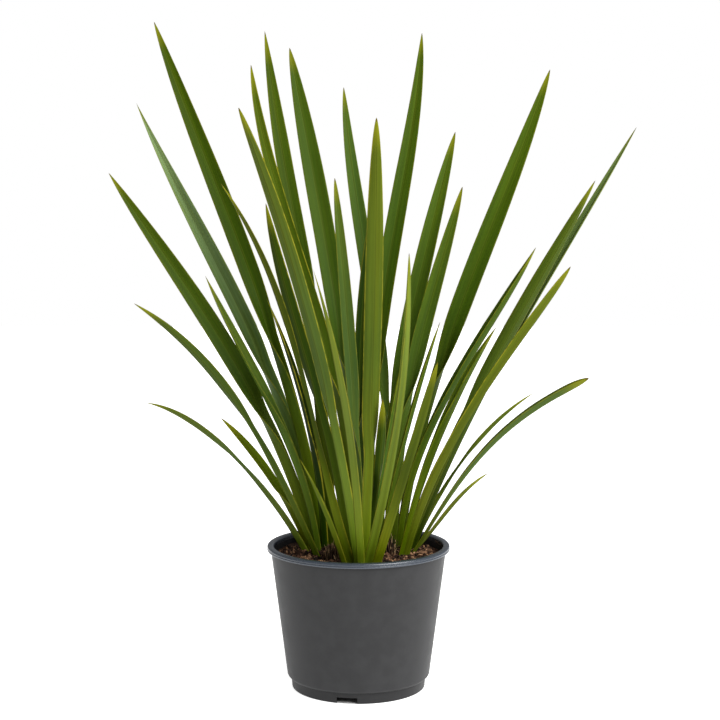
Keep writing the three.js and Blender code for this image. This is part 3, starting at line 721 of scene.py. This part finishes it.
def leaf_piece(leaf, rng):
    line = [Vector(p if len(p) == 3 else (*p, ROOT_Z)) for p in leaf["line"]]
    spots = [line_point(line, i / 60) for i in range(61)]
    leaf["length"] = sum((b - a).length for a, b in zip(spots, spots[1:]))
    wave = [rng.uniform(0, 2 * math.pi) for _ in range(3)]
    verts, blade = [], []
    for along in [-PLANTED / leaf["length"]] + leaf_stations():
        tangent = line_tangent(line, max(along, 0.0))
        centre = line_point(line, along) if along >= 0 else line[0] - tangent * PLANTED
        right, toward, mouth, across = leaf_axes(leaf, tangent, along)
        half = half_width(leaf, max(along, 0.0))
        section = leaf_section(half, fold_angle(leaf, along))
        corners = [mouth * x + across * y for x, y, *_ in section]
        for direction in (right, toward):
            reaches = [corner.dot(direction) for corner in corners]
            middle = (min(reaches) + max(reaches)) / 2
            corners = [corner - direction * middle for corner in corners]
        for corner, (_, _, skin, margin) in zip(corners, section):
            side = 1 if skin > 0 else 0
            ripple = 0.012 * half * math.sin(along * 34 + wave[side]) * (1 - margin / half)
            verts.append(tuple(centre + corner + mouth * ripple))
            blade.append((max(along, 0.0), skin * MM, margin * MM))
    sides = len(section)
    faces = ring_faces(LEAF_STATIONS + 1, sides, close_bottom=True)
    tip = len(verts)
    verts.append(tuple(line[-1]))
    blade.append((1.0, 0.0, 0.0))
    last = LEAF_STATIONS * sides
    faces += [(last + s, last + (s + 1) % sides, tip) for s in range(sides)]
    return mesh_piece(leaf["name"] + "_blade", verts, faces, {"blade": blade})


def make_leaves():
    rng = random.Random(7)
    for number, entry in enumerate(LEAVES):
        leaf = {**USUAL_LEAF, **entry}
        piece = leaf_piece(leaf, rng)
        place(piece, leaf["name"], leaf_material(leaf, number * 1.7))


# Pot

def outer_radius(z):
    rise = (z - BODY_FOOT_Z) / (POT_HEIGHT - BODY_FOOT_Z)
    return BODY_FOOT_RADIUS + (BODY_TOP_RADIUS - BODY_FOOT_RADIUS) * rise


def inner_radius(z):
    rise = (z - BODY_FOOT_Z) / (POT_HEIGHT - BODY_FOOT_Z)
    return BODY_FOOT_RADIUS - WALL + (MOUTH_RADIUS - BODY_FOOT_RADIUS + WALL) * rise


def rounded(corner, start, end, radius, steps=5):
    """Points of a rounded corner between two straight stretches of a profile."""
    corner = Vector(corner)
    one = corner + (Vector(start) - corner).normalized() * radius
    two = corner + (Vector(end) - corner).normalized() * radius
    points = []
    for i in range(steps + 1):
        t = i / steps
        points.append(tuple(one * (1 - t) ** 2 + corner * (2 * t * (1 - t)) + two * t ** 2))
    return points


def pot_profile():
    """The pot's closed outline as (radius, z), each corner with its own rounding."""
    skirt_z = POT_HEIGHT - RIM_SKIRT
    groove_z = skirt_z + RIM_GROOVE
    foot_inner = FOOT_RADIUS - FOOT_WALL
    corners = [
        ((foot_inner, FLOOR_UNDER_Z), 1.2),
        ((foot_inner, 0.0), 0.5),
        ((FOOT_RADIUS, 0.0), 0.6),
        ((FOOT_TOP_RADIUS, STEP_Z), 0.3),
        ((STEP_RADIUS, STEP_Z), 0.5),
        ((BODY_FOOT_RADIUS, BODY_FOOT_Z), 1.6),
        ((outer_radius(groove_z), groove_z), 0.4),
        ((RIM_RADIUS - 1.6, groove_z), 0.4),
        ((RIM_RADIUS - 1.6, skirt_z), 0.5),
        ((RIM_RADIUS, skirt_z), 0.7),
        ((RIM_RADIUS, skirt_z + 2.0), 0.5),
        ((RIM_RADIUS - 0.7, skirt_z + 2.4), 0.3),
        ((RIM_RADIUS, skirt_z + 2.8), 0.5),
        ((RIM_RADIUS, POT_HEIGHT), 2.6),
        ((MOUTH_RADIUS, POT_HEIGHT), 2.4),
        ((inner_radius(CORNER_Z), CORNER_Z), 0.8),
        ((inner_radius(CORNER_Z) - 3.5, FLOOR_Z), 0.8),
    ]
    points = [(0.0, FLOOR_UNDER_Z)]
    ends = [(0.0, FLOOR_UNDER_Z)] + [c for c, _ in corners] + [(0.0, FLOOR_Z)]
    for i, (corner, radius) in enumerate(corners):
        points += rounded(corner, ends[i], ends[i + 2], radius)
    points.append((0.0, FLOOR_Z))
    return points


def lathe(name, profile, sides):
    """A closed solid of revolution. The profile starts and ends on the axis."""
    inner = profile[1:-1]
    verts = []
    for radius, z in inner:
        for s in range(sides):
            angle = 2 * math.pi * s / sides
            verts.append((radius * math.cos(angle), radius * math.sin(angle), z))
    faces = ring_faces(len(inner), sides, close_top=True, close_bottom=True)
    return mesh_piece(name, verts, faces)


def bevelled_box(name, size):
    """A box about the origin with its edges rounded off."""
    mesh = bpy.data.meshes.new(name)
    shape = bmesh.new()
    bmesh.ops.create_cube(shape, size=1.0)
    bmesh.ops.scale(shape, vec=Vector(size) * MM, verts=shape.verts)
    bmesh.ops.bevel(shape, geom=shape.edges[:], offset=0.5 * MM, segments=2, affect="EDGES")
    shape.to_mesh(mesh)
    shape.free()
    piece = bpy.data.objects.new(name, mesh)
    bpy.context.scene.collection.objects.link(piece)
    return piece


def cutter(name, size, centre, angle):
    """A box to cut with, moved out from the middle and then turned about the axis."""
    piece = bevelled_box(name, size)
    piece.matrix_world = Matrix.Rotation(angle, 4, "Z") @ Matrix.Translation(Vector(centre) * MM)
    return piece


def cut(piece, tools):
    """Cut each tool out of the piece, then drop the tools."""
    for tool in tools:
        modifier = piece.modifiers.new("cut", "BOOLEAN")
        modifier.operation = "DIFFERENCE"
        modifier.solver = "EXACT"
        modifier.object = tool
    bpy.context.view_layer.update()
    evaluated = piece.evaluated_get(bpy.context.evaluated_depsgraph_get())
    shaped = bpy.data.meshes.new_from_object(evaluated)
    piece.modifiers.clear()
    piece.data = shaped
    for tool in tools:
        bpy.data.objects.remove(tool)


def make_pot():
    pot = lathe("pot_shell", pot_profile(), POT_SIDES)
    tools = []
    for i in range(NOTCH_COUNT):
        angle = math.radians(NOTCH_FIRST_ANGLE + 360 / NOTCH_COUNT * i)
        size = (4 * FOOT_WALL + 6, NOTCH_WIDTH, 2 * NOTCH_HEIGHT)
        tools.append(cutter("notch", size, (FOOT_RADIUS - 2, 0, 0), angle))
    for i in range(DRAIN_COUNT):
        angle = 2 * math.pi * (i + 0.5) / DRAIN_COUNT
        drain = lathe("drain", [(0, 8), (DRAIN_RADIUS, 8), (DRAIN_RADIUS, 18), (0, 18)], 32)
        across = (DRAIN_RING_RADIUS * math.cos(angle), DRAIN_RING_RADIUS * math.sin(angle), 0)
        drain.matrix_world = Matrix.Translation(Vector(across) * MM)
        tools.append(drain)
    cut(pot, tools)
    pot.data.polygons.foreach_set("use_smooth", [True] * len(pot.data.polygons))
    pot.data.set_sharp_from_angle(angle=math.radians(35))
    place(pot, "pot", pot_material())


# Potting mix

def mix_height(fraction, angle):
    level = MIX_MIDDLE_Z + (MIX_EDGE_Z - MIX_MIDDLE_Z) * fraction ** 2
    lumps = math.sin(5 * angle + 9 * fraction) + math.sin(3 * angle - 14 * fraction + 1)
    return level + MIX_LUMP / 2 * lumps


def mix_surface(x, y):
    """Height of the rough top at a point, in millimetres."""
    top = inner_radius(MIX_EDGE_Z) - MIX_GAP
    fraction = min(math.hypot(x, y) / top, 1.0)
    crumb = noise.fractal(Vector((x, y, 3.0)) * 0.16, 0.7, 2.1, 4)
    return mix_height(fraction, math.atan2(y, x)) + 1.3 * crumb


def mix_body():
    floor = FLOOR_Z + MIX_GAP
    top = inner_radius(MIX_EDGE_Z) - MIX_GAP
    rings = [
        (inner_radius(CORNER_Z) - 4.2, floor),
        (inner_radius(CORNER_Z) - MIX_GAP, CORNER_Z + MIX_GAP),
    ]
    verts = []
    for radius, z in rings:
        for s in range(MIX_SIDES):
            angle = 2 * math.pi * s / MIX_SIDES
            verts.append((radius * math.cos(angle), radius * math.sin(angle), z))
    for r in range(MIX_RINGS):
        radius = top * (1 - r / MIX_RINGS) ** 0.85
        for s in range(MIX_SIDES):
            angle = 2 * math.pi * s / MIX_SIDES
            x, y = radius * math.cos(angle), radius * math.sin(angle)
            verts.append((x, y, mix_surface(x, y)))
    faces = ring_faces(MIX_RINGS + 2, MIX_SIDES, close_bottom=True, close_top=True)
    shade = [0.25] * len(verts)
    return verts, faces, shade


def chip(rng, size):
    """One flake of bark: a jagged slab, as points and faces about the origin."""
    sides = rng.choice((5, 6, 7))
    long, thick = rng.uniform(0.45, 0.9), rng.uniform(0.15, 0.38)
    low, high = [], []
    for s in range(sides):
        angle = 2 * math.pi * (s + rng.uniform(-0.3, 0.3)) / sides
        reach = rng.uniform(0.7, 1.0) * size / 2
        x, y = reach * math.cos(angle), reach * long * math.sin(angle)
        low.append((x, y, -thick * size / 2 * rng.uniform(0.5, 1)))
        x, y = x * rng.uniform(0.75, 1), y * rng.uniform(0.75, 1)
        high.append((x, y, thick * size / 2 * rng.uniform(0.5, 1)))
    return low + high, ring_faces(2, sides, close_top=True, close_bottom=True)


def scatter_chips(rng, verts, faces, shade):
    reach = inner_radius(MIX_EDGE_Z) - 2.5
    for _ in range(CHIP_COUNT):
        size = CHIP_SMALLEST + CHIP_SPREAD * rng.random() ** CHIP_RARITY
        radius = (reach - size * 0.45) * math.sqrt(rng.random())
        angle = rng.uniform(0, 2 * math.pi)
        x, y = radius * math.cos(angle), radius * math.sin(angle)
        points, flakes = chip(rng, size)
        tilt = Matrix.Rotation(rng.uniform(0, 2 * math.pi), 3, "Z")
        tilt = tilt @ Matrix.Rotation(rng.gauss(0, CHIP_TILT), 3, "X")
        tilt = tilt @ Matrix.Rotation(rng.gauss(0, CHIP_TILT), 3, "Y")
        lift = mix_surface(x, y) + CHIP_LIFT * size
        first = len(verts)
        tone = rng.random() ** 1.7
        for point in points:
            spot = tilt @ Vector(point)
            verts.append((spot.x + x, spot.y + y, spot.z + lift))
            shade.append(tone)
        faces += [tuple(first + i for i in face) for face in flakes]


def strand(verts, faces, shade, path, radius, tone, sides=4):
    """A thin fibre along a path, thinner at its ends."""
    first = len(verts)
    for i, point in enumerate(path):
        ahead = path[min(i + 1, len(path) - 1)] - path[max(i - 1, 0)]
        side = ahead.cross(Vector((0.3, 0.2, 1.0))).normalized()
        up = side.cross(ahead).normalized()
        width = radius * (0.35 + 0.65 * math.sin(math.pi * i / (len(path) - 1)))
        for s in range(sides):
            angle = 2 * math.pi * s / sides
            verts.append(tuple(point + (side * math.cos(angle) + up * math.sin(angle)) * width))
            shade.append(tone)
    found = ring_faces(len(path), sides, close_top=True, close_bottom=True)
    faces += [tuple(first + i for i in face) for face in found]


def scatter_fibres(rng, verts, faces, shade):
    reach = inner_radius(MIX_EDGE_Z) - 12
    for _ in range(FIBRE_COUNT):
        radius, angle = reach * math.sqrt(rng.random()), rng.uniform(0, 2 * math.pi)
        heading, bend = rng.uniform(0, 2 * math.pi), rng.uniform(-0.5, 0.5)
        x, y = radius * math.cos(angle), radius * math.sin(angle)
        path, step = [], rng.uniform(0.8, 2.0)
        for _ in range(FIBRE_POINTS):
            path.append(Vector((x, y, mix_surface(x, y) + rng.uniform(0.4, 1.6))))
            x, y = x + step * math.cos(heading), y + step * math.sin(heading)
            heading += bend
        strand(verts, faces, shade, path, rng.uniform(0.15, 0.4), rng.uniform(0.3, 1.0))


def make_mix():
    rng = random.Random(21)
    verts, faces, shade = mix_body()
    scatter_chips(rng, verts, faces, shade)
    scatter_fibres(rng, verts, faces, shade)
    piece = mesh_piece("potting_mix_bark", verts, faces, {"shade": shade}, smooth=False)
    place(piece, "potting_mix", mix_material())


# Dried leaf bases

def ribbon(verts, faces, shade, strands, path, width, flat, tone):
    """A dried strip along a path, with a ragged, pointed end."""
    first = len(verts)
    for i, point in enumerate(path):
        t = i / (len(path) - 1)
        ahead = (path[min(i + 1, len(path) - 1)] - path[max(i - 1, 0)]).normalized()
        side = (flat - ahead * flat.dot(ahead)).normalized()
        out = ahead.cross(side)
        reach = width * (1 - 0.85 * t ** 2)
        cup = 0.35 * reach
        for across, lift in ((-1, cup), (0, 0.35), (1, cup), (0, -0.35)):
            verts.append(tuple(point + side * across * reach + out * lift))
            shade.append(tone)
            strands.append((t, across, tone * 9))
    found = ring_faces(len(path), 4, close_top=True, close_bottom=True)
    faces += [tuple(first + i for i in face) for face in found]


def make_stub(stub, rng, material):
    verts, faces, shade, strands = [], [], [], []
    for _ in range(stub["strips"]):
        turn = rng.uniform(0, 2 * math.pi)
        out = math.sqrt(rng.random())
        x = stub["at"][0] + stub["spread"][0] * out * math.cos(turn)
        y = stub["at"][1] + stub["spread"][1] * out * math.sin(turn)
        height = stub["height"] * (1 - 0.55 * out) * rng.uniform(0.55, 1.0)
        lean = Vector((math.cos(turn), math.sin(turn), 0)) * rng.uniform(-2, 5) * out
        curl = Vector((rng.uniform(-1, 1), rng.uniform(-1, 1), 0)) * STRIP_CURL
        root, rise = Vector((x, y, ROOT_Z - STRIP_SUNK)), Vector((0, 0, height + STRIP_SUNK))
        path = []
        for i in range(STRIP_POINTS):
            t = i / (STRIP_POINTS - 1)
            path.append(root + lean * t + curl * t * t + rise * t)
        flat = Vector((math.cos(turn + 1.2), math.sin(turn + 1.2), 0))
        ribbon(verts, faces, shade, strands, path, rng.uniform(0.7, 2.6), flat, rng.random())
    piece = mesh_piece(stub["name"] + "_strips", verts, faces, {"shade": shade, "strand": strands})
    place(piece, stub["name"], material)


def make_stubs():
    rng = random.Random(5)
    material = stub_material()
    for stub in STUBS:
        make_stub(stub, rng, material)


# Studio

def make_floor():
    half = STUDIO_FLOOR_HALF
    corners = [(x * half, y * half, STUDIO_FLOOR_Z) for x, y in ((-1, -1), (1, -1), (1, 1), (-1, 1))]
    floor = mesh_piece("studio_floor", corners, [(0, 1, 2, 3)], smooth=False)
    floor.data.materials.append(floor_material())


def lamp(name, data, place_at, aim):
    piece = bpy.data.objects.new(name, data)
    piece.location = place_at
    piece.rotation_euler = (Vector(aim) - Vector(place_at)).to_track_quat("-Z", "Y").to_euler()
    bpy.context.scene.collection.objects.link(piece)


def make_lights():
    """A very wide soft key from the front right, and a long softbox for the rim's highlight."""
    key = bpy.data.lights.new("key", "SUN")
    key.energy = KEY_STRENGTH
    key.angle = math.radians(KEY_SPREAD)
    lamp("key", key, KEY_PLACE, KEY_AIM)
    box = bpy.data.lights.new("softbox", "AREA")
    box.shape = "RECTANGLE"
    box.size, box.size_y = SOFTBOX_SIZE
    box.energy = SOFTBOX_POWER
    lamp("softbox", box, SOFTBOX_PLACE, SOFTBOX_AIM)


def make_world():
    """Pure white behind the object, and a dimmer white light from all round."""
    world = bpy.data.worlds.new("studio")
    bpy.context.scene.world = world
    world.use_nodes = True
    tree = world.node_tree
    back = tree.nodes["Background"]
    back.inputs["Color"].default_value = (1.0, 1.0, 1.0, 1.0)
    path = tree.nodes.new("ShaderNodeLightPath")
    seen = tree.nodes.new("ShaderNodeMapRange")
    seen.inputs["To Min"].default_value = WORLD_LIGHT
    seen.inputs["To Max"].default_value = 1.0
    tree.links.new(path.outputs["Is Camera Ray"], seen.inputs["Value"])
    tree.links.new(seen.outputs[0], back.inputs["Strength"])


def make_camera():
    data = bpy.data.cameras.new("camera")
    data.sensor_fit = "HORIZONTAL"
    data.sensor_width = SENSOR_WIDTH
    data.lens = CAMERA_LENS
    data.clip_start = 0.05
    camera = bpy.data.objects.new("camera", data)
    camera.location = Vector(CAMERA_PLACE) * MM
    camera.rotation_euler = (math.radians(90 - CAMERA_PITCH), 0.0, 0.0)
    bpy.context.scene.collection.objects.link(camera)
    bpy.context.scene.camera = camera


make_camera()
make_world()
make_lights()
make_floor()
make_leaves()
make_pot()
make_mix()
make_stubs()
bpy.context.scene.view_settings.view_transform = "Standard"
